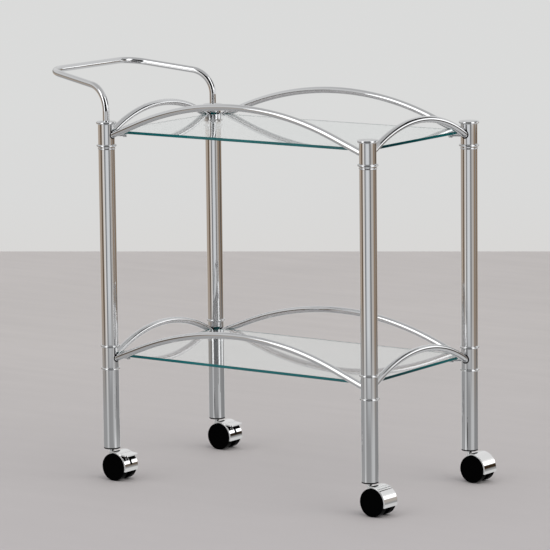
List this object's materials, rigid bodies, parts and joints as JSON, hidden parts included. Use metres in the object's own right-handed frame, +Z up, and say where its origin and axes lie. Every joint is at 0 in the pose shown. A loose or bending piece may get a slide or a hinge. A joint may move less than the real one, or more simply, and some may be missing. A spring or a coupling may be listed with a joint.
{
  "type": "spa trolley cart",
  "caption": "Two-tier rolling trolley: chrome posts and arched guard rails round clear glass shelves, push handle at one end, hooded twin-wheel casters.",
  "frame": {"origin": "on the floor under the middle of the overall length and width, at rest with the casters trailing away from the handle, each turned 2 to 4 degrees", "axes": "+X along the trolley away from the push handle, +Y across it towards the back, +Z up"},
  "size_m": [0.7742, 0.368, 0.737],
  "materials": {
    "chrome": "mirror-bright chrome plate on steel tube and castings",
    "glass": "clear float glass, polished edges that look dark teal",
    "clear_plastic": "clear soft plastic pad",
    "black_wheel": "black moulded wheel, satin",
    "black_plastic": "black moulded plastic, satin",
    "steel": "plain zinc-plated steel, hidden inside"
  },
  "bodies": {
    "frame": {"upper_glass_shelf": "glass", "lower_glass_shelf": "glass", "push_handle": "chrome", "upper_rail_front": "chrome", "upper_rail_back": "chrome", "upper_rail_handle_end": "chrome", "upper_rail_far_end": "chrome", "lower_rail_front": "chrome", "lower_rail_back": "chrome", "lower_rail_handle_end": "chrome", "lower_rail_far_end": "chrome", "leg_tube_front_left": "chrome", "post_tube_front_left": "chrome", "upper_sleeve_front_left": "chrome", "lower_sleeve_front_left": "chrome", "cap_front_left": "chrome", "leg_tube_front_right": "chrome", "post_tube_front_right": "chrome", "upper_sleeve_front_right": "chrome", "lower_sleeve_front_right": "chrome", "cap_front_right": "chrome", "leg_tube_back_right": "chrome", "post_tube_back_right": "chrome", "upper_sleeve_back_right": "chrome", "lower_sleeve_back_right": "chrome", "cap_back_right": "chrome", "leg_tube_back_left": "chrome", "post_tube_back_left": "chrome", "upper_sleeve_back_left": "chrome", "lower_sleeve_back_left": "chrome", "cap_back_left": "chrome", "upper_post_rings": "chrome", "middle_post_rings": "chrome", "lower_post_rings": "chrome", "joint_blocks": "black_plastic", "tie_rods": "steel", "foot_plugs": "black_plastic", "caster_stems": "chrome", "upper_shelf_pins": "chrome", "lower_shelf_pins": "chrome", "upper_shelf_pads": "clear_plastic", "lower_shelf_pads": "clear_plastic"},
    "caster_front_left": {"caster_hood_front_left": "chrome", "caster_axle_front_left": "steel"},
    "front_wheel_front_left": {"front_wheel_front_left": "black_wheel"},
    "back_wheel_front_left": {"back_wheel_front_left": "black_wheel"},
    "brake_front_left": {"brake_lever_front_left": "chrome"},
    "caster_front_right": {"caster_hood_front_right": "chrome", "caster_axle_front_right": "steel"},
    "front_wheel_front_right": {"front_wheel_front_right": "black_wheel"},
    "back_wheel_front_right": {"back_wheel_front_right": "black_wheel"},
    "caster_back_right": {"caster_hood_back_right": "chrome", "caster_axle_back_right": "steel"},
    "front_wheel_back_right": {"front_wheel_back_right": "black_wheel"},
    "back_wheel_back_right": {"back_wheel_back_right": "black_wheel"},
    "caster_back_left": {"caster_hood_back_left": "chrome", "caster_axle_back_left": "steel"},
    "front_wheel_back_left": {"front_wheel_back_left": "black_wheel"},
    "back_wheel_back_left": {"back_wheel_back_left": "black_wheel"},
    "brake_back_left": {"brake_lever_back_left": "chrome"}
  },
  "joints": [
    {"name": "swivel_front_left", "type": "hinge", "parent": "frame", "child": "caster_front_left", "pos_m": [-0.21907, -0.16178, 0.05], "axis": [0, 0, 1], "continuous": true},
    {"name": "front_roll_front_left", "type": "hinge", "parent": "caster_front_left", "child": "front_wheel_front_left", "pos_m": [-0.20228, -0.16237, 0.025], "axis": [0.0349, 0.9994, 0], "continuous": true},
    {"name": "back_roll_front_left", "type": "hinge", "parent": "caster_front_left", "child": "back_wheel_front_left", "pos_m": [-0.20228, -0.16237, 0.025], "axis": [0.0349, 0.9994, 0], "continuous": true},
    {"name": "brake_press_front_left", "type": "hinge", "parent": "caster_front_left", "child": "brake_front_left", "pos_m": [-0.19059, -0.16278, 0.0389], "axis": [0.0349, 0.9994, 0], "range_deg": [0, 15]},
    {"name": "swivel_front_right", "type": "hinge", "parent": "frame", "child": "caster_front_right", "pos_m": [0.34093, -0.16178, 0.05], "axis": [0, 0, 1], "continuous": true},
    {"name": "front_roll_front_right", "type": "hinge", "parent": "caster_front_right", "child": "front_wheel_front_right", "pos_m": [0.35769, -0.16295, 0.025], "axis": [0.0698, 0.9976, 0], "continuous": true},
    {"name": "back_roll_front_right", "type": "hinge", "parent": "caster_front_right", "child": "back_wheel_front_right", "pos_m": [0.35769, -0.16295, 0.025], "axis": [0.0698, 0.9976, 0], "continuous": true},
    {"name": "swivel_back_right", "type": "hinge", "parent": "frame", "child": "caster_back_right", "pos_m": [0.34093, 0.16422, 0.05], "axis": [0, 0, 1], "continuous": true},
    {"name": "front_roll_back_right", "type": "hinge", "parent": "caster_back_right", "child": "front_wheel_back_right", "pos_m": [0.35771, 0.16334, 0.025], "axis": [0.0523, 0.9986, 0], "continuous": true},
    {"name": "back_roll_back_right", "type": "hinge", "parent": "caster_back_right", "child": "back_wheel_back_right", "pos_m": [0.35771, 0.16334, 0.025], "axis": [0.0523, 0.9986, 0], "continuous": true},
    {"name": "swivel_back_left", "type": "hinge", "parent": "frame", "child": "caster_back_left", "pos_m": [-0.21907, 0.16422, 0.05], "axis": [0, 0, 1], "continuous": true},
    {"name": "front_roll_back_left", "type": "hinge", "parent": "caster_back_left", "child": "front_wheel_back_left", "pos_m": [-0.20228, 0.16363, 0.025], "axis": [0.0349, 0.9994, 0], "continuous": true},
    {"name": "back_roll_back_left", "type": "hinge", "parent": "caster_back_left", "child": "back_wheel_back_left", "pos_m": [-0.20228, 0.16363, 0.025], "axis": [0.0349, 0.9994, 0], "continuous": true},
    {"name": "brake_press_back_left", "type": "hinge", "parent": "caster_back_left", "child": "brake_back_left", "pos_m": [-0.19059, 0.16323, 0.0389], "axis": [0.0349, 0.9994, 0], "range_deg": [0, 15]}
  ]
}
